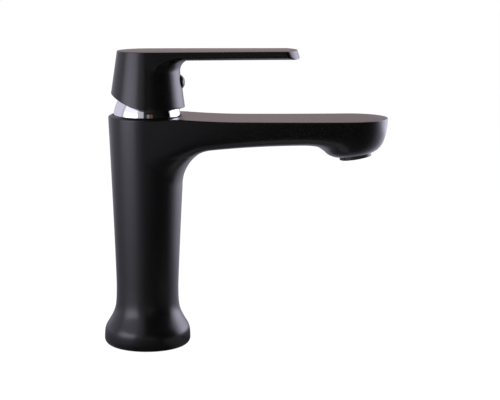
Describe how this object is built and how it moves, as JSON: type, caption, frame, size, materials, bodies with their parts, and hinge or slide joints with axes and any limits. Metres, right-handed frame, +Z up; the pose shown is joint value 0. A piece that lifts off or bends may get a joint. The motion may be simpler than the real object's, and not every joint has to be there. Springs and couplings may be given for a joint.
{
  "type": "single-lever bathroom mixer faucet",
  "caption": "Satin black deck-mounted basin mixer with a waisted column, a wide flat spout, a flat lever handle on a tapered cap and a chrome dome ring.",
  "frame": {"origin": "centre of the foot's underside, on the basin's surface and on the column's axis", "axes": "+X along the spout and the lever, +Z up, +Y to the left of a person who faces the spout's end from behind the column"},
  "size_m": [0.1632, 0.0502, 0.1723],
  "materials": {
    "satin_black": "satin",
    "chrome": "mirror polished",
    "gloss_black": "gloss",
    "black_plastic": "satin",
    "brass": "machined",
    "white_plastic": "matte",
    "blue_plastic": "matte",
    "ceramic": "lapped",
    "rubber": "matte",
    "steel": "turned"
  },
  "bodies": {
    "root": {"body": "satin_black", "base_gasket": "rubber", "aerator_housing": "black_plastic", "aerator_insert": "white_plastic", "aerator_screen": "steel", "aerator_washer": "rubber", "cartridge_base": "white_plastic", "inlet_seals": "rubber", "chamber_seal": "rubber", "disc_gasket": "rubber", "fixed_disc": "ceramic", "cartridge_housing": "white_plastic", "cartridge_nut": "brass", "dome_cap": "chrome"},
    "rotor": {"stem_carrier": "white_plastic", "pivot_pin": "steel"},
    "lever": {"stem": "steel", "handle": "satin_black", "set_screw": "steel", "screw_plug": "gloss_black"},
    "slider": {"moving_disc": "ceramic", "disc_carrier": "blue_plastic"}
  },
  "joints": [
    {"name": "mix_swivel", "type": "hinge", "parent": "root", "child": "rotor", "pos_m": [0, 0, 0.133], "axis": [0, 0, 1], "range_deg": [-50, 50]},
    {"name": "lever_lift", "type": "hinge", "parent": "rotor", "child": "lever", "pos_m": [0, 0, 0.133], "axis": [0, -1, 0], "range_deg": [0, 25]},
    {"name": "disc_slide", "type": "slide", "parent": "rotor", "child": "slider", "axis": [1, 0, 0], "range_m": [0, 0.00445]}
  ],
  "couplings": [
    {"joint": "disc_slide", "follows": "lever_lift", "m_per_rad": 0.01017}
  ]
}
